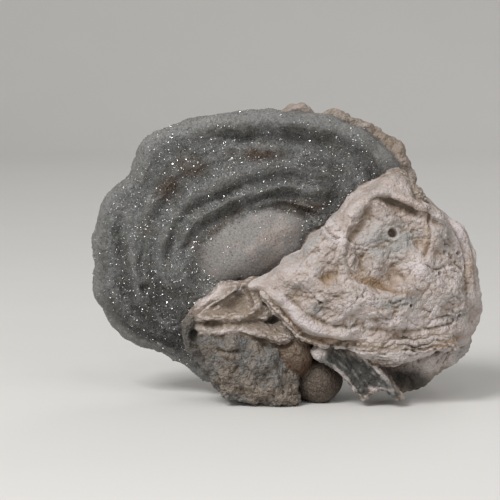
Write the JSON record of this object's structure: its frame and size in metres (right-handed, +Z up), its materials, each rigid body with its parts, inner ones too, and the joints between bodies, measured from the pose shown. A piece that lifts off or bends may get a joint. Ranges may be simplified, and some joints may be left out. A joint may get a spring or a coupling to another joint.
{
  "type": "chalcedony rose",
  "caption": "Chalcedony rose specimen: a rippled grey druzy blade that curls over into a beige crusted petal, standing on a small flat spot",
  "frame": {"origin": "under the middle of the stone's bounding box, on the surface that it stands on", "axes": "+X to the right along the stone's long way with the druzy blade on the left and the crusted petal on the right, +Y away from the viewer of the druzy face, +Z up as it stands"},
  "size_m": [0.0787, 0.0283, 0.0589],
  "materials": {
    "chalcedony": "waxy grey chalcedony with a sugary druse on the blade, and a matt beige to pinkish crust on the petals and the back",
    "druse": "sparkling sub-millimetre quartz crystals with glossy flat faces"
  },
  "bodies": {
    "root": {"chalcedony_rose": "chalcedony"}
  },
  "joints": []
}
